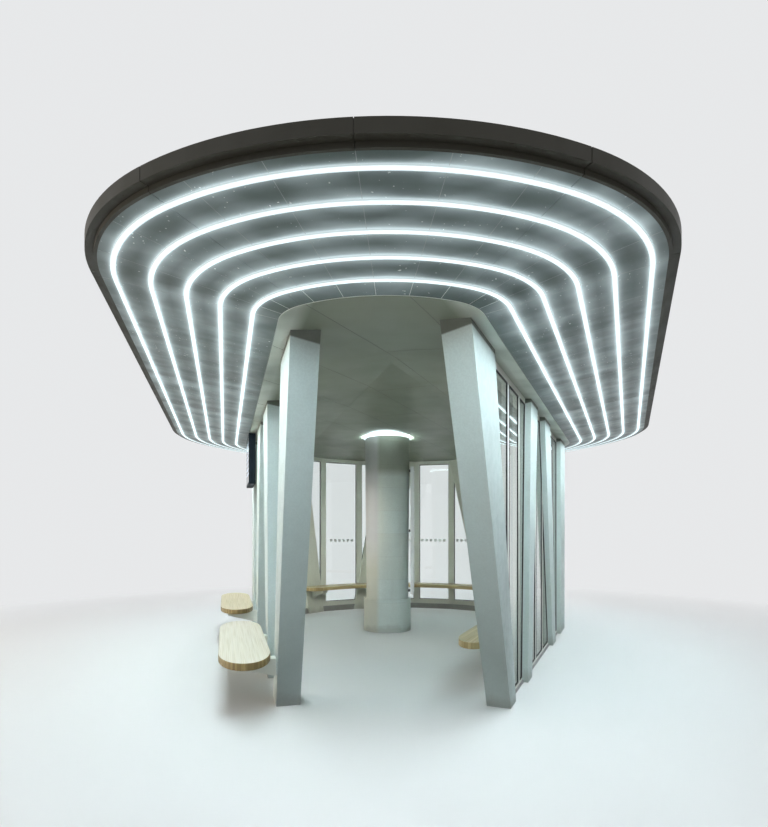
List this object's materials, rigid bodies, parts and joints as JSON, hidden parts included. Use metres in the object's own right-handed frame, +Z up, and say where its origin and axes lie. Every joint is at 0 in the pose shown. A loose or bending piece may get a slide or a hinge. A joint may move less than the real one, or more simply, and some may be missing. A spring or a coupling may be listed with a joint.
{
  "type": "bus shelter",
  "caption": "Open bus shelter: wide canopy with a sloped soffit and concentric light lines on leaning tapered columns, one glazed side, round column, wood benches.",
  "frame": {"origin": "centre of the bounding box's base, on the ground under the canopy", "axes": "+Z up, +Y from the narrow front end to the round rear end, +X to the glazed side"},
  "size_m": [7.2018, 10.4228, 3.0766],
  "materials": {
    "roof_sheet": "matt roofing sheet with welded laps",
    "roof_body": "hidden roof body",
    "edge_metal": "matt coated sheet metal, warm grey",
    "soffit": "satin mid grey panels",
    "light": "lit opal diffuser, cool white",
    "white_concrete": "off-white painted concrete",
    "frame_white": "satin white paint",
    "clear_glass": "clear glass",
    "plinth_grey": "grey concrete",
    "bench_wood": "oiled light wood",
    "board_white": "white board with bright edges",
    "dark_metal": "dark grey paint",
    "housing_black": "matt black paint",
    "screen_dark": "dark screen"
  },
  "bodies": {
    "root": {"roof_sheet": "roof_sheet", "roof_core": "roof_body", "roof_wings": "roof_body", "edge_band": "edge_metal", "edge_lip": "edge_metal", "soffit_panels": "soffit", "inner_ceiling": "soffit", "light_line_1": "light", "light_line_2": "light", "light_line_3": "light", "light_line_4": "light", "light_line_5": "light", "column_right_1": "white_concrete", "column_right_2": "white_concrete", "column_right_3": "white_concrete", "column_right_4": "white_concrete", "column_left_1": "white_concrete", "column_left_2": "white_concrete", "column_left_3": "white_concrete", "column_left_4": "white_concrete", "column_back_1": "white_concrete", "column_back_2": "white_concrete", "column_back_3": "white_concrete", "column_back_4": "white_concrete", "round_column": "white_concrete", "round_column_sleeve": "white_concrete", "round_column_light": "light", "notice_board": "board_white", "board_standoffs": "dark_metal", "frame_right_1": "frame_white", "frame_right_2": "frame_white", "frame_right_3": "frame_white", "frame_back": "frame_white", "glass_right": "clear_glass", "glass_back": "clear_glass", "plinths": "plinth_grey", "bench_left_near": "bench_wood", "bench_left_far": "bench_wood", "bench_inside": "bench_wood", "bench_brackets": "frame_white", "display_housing": "housing_black", "display_screen": "screen_dark", "display_hangers": "dark_metal"}
  },
  "joints": []
}
